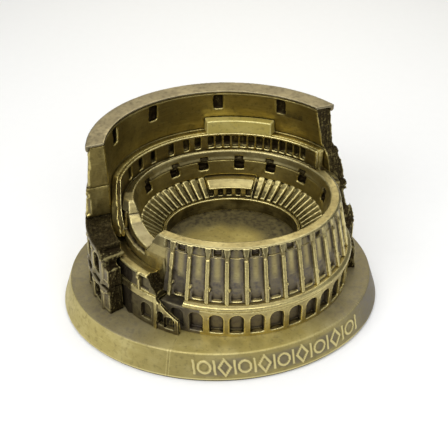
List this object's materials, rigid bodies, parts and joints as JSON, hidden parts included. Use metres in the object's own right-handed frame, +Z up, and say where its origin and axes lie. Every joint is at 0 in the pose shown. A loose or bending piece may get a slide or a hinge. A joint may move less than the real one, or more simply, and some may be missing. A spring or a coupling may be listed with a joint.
{
  "type": "miniature landmark model",
  "caption": "Desk souvenir of a ruined elliptical amphitheatre in antique-brass cast metal: tall broken outer wall, low front drum, ribbed seating bowl and oval plinth.",
  "frame": {"origin": "centre of the plinth's resting face, which is the underside of the foam pad", "axes": "+Z up; -Y is the front, the low side of the ruin; +Y is the back, where the wall is tallest; +X is to the right of the front, along the long side of the oval"},
  "size_m": [0.1098, 0.0924, 0.0614],
  "materials": {
    "antique_brass": "antique brass plating over zinc casting, worn edges, dark recesses",
    "cap_brass": "matt tan antique brass",
    "floor_brass": "satin antique brass with brushed highlights",
    "foam": "matt black foam sheet",
    "steel_sheet": "zinc-plated sheet",
    "steel": "zinc-plated steel"
  },
  "bodies": {
    "root": {"base_pad": "foam", "bottom_cover": "steel_sheet", "cover_screws": "steel", "plinth": "antique_brass", "drum_screws": "steel", "wall_screws": "steel", "locating_pins": "steel", "drum_arcade": "antique_brass", "drum_string_course": "antique_brass", "drum_upper_storey": "antique_brass", "drum_rim": "antique_brass", "arena_floor": "floor_brass", "podium_wall": "antique_brass", "seating_tiers": "antique_brass", "balcony": "antique_brass", "bowl_wall": "antique_brass", "middle_arcade": "antique_brass", "middle_string_course": "antique_brass", "middle_upper_storey": "antique_brass", "outer_arcade": "antique_brass", "outer_second_storey": "antique_brass", "outer_third_storey": "antique_brass", "outer_attic": "antique_brass", "cornice": "cap_brass", "gallery_colonnade": "antique_brass", "gallery_body": "antique_brass", "tribune": "antique_brass"}
  },
  "joints": []
}
